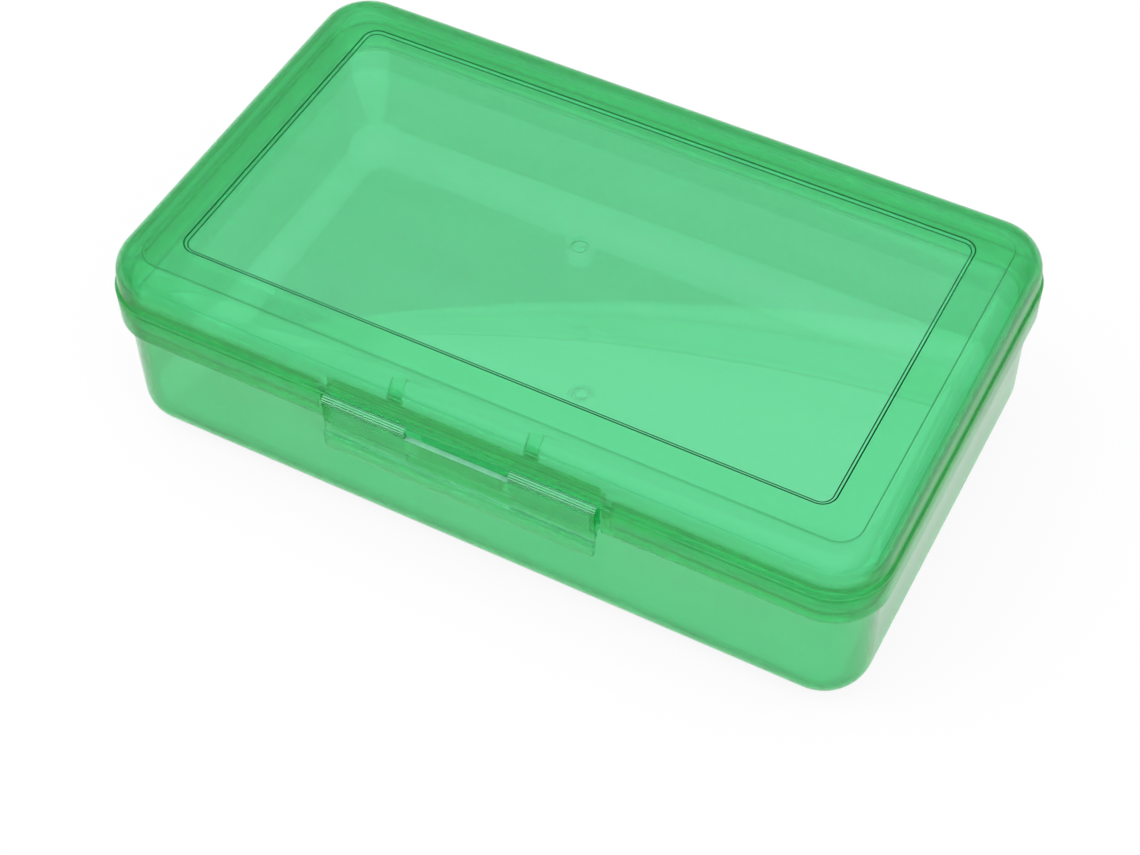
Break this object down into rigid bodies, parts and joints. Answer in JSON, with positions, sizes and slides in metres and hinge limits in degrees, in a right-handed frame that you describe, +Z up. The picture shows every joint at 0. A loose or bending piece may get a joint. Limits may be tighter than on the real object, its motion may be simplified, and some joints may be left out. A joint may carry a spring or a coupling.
{
  "type": "pencil case",
  "caption": "See-through rectangular pencil case: deep tray, hinged shallow lid with a sunk top panel, and a snap flap hanging from the lid's front edge.",
  "frame": {"origin": "on the underside of the closed case, at the middle of its plan outline", "axes": "+X along the case's length, to the right when looking at the flap; +Y towards the back hinge; +Z up"},
  "size_m": [0.2, 0.121, 0.0563],
  "materials": {
    "tray_plastic": "translucent green, smooth and glossy",
    "lid_plastic": "translucent green, smooth and glossy",
    "flap_plastic": "translucent green, smooth and glossy",
    "web_plastic": "translucent green, smooth and glossy"
  },
  "bodies": {
    "base": {"tray": "tray_plastic", "back_hinge_web": "web_plastic"},
    "lid": {"lid": "lid_plastic", "latch_web_left": "web_plastic", "latch_web_right": "web_plastic"},
    "latch": {"latch_flap": "flap_plastic"}
  },
  "joints": [
    {"name": "lid_hinge", "type": "hinge", "parent": "base", "child": "lid", "pos_m": [0, 0.0594, 0.04448], "axis": [-1, 0, 0], "range_deg": [0, 180]},
    {"name": "latch_hinge", "type": "hinge", "parent": "lid", "child": "latch", "pos_m": [0, -0.05935, 0.04395], "axis": [-1, 0, 0], "range_deg": [0, 150]}
  ]
}
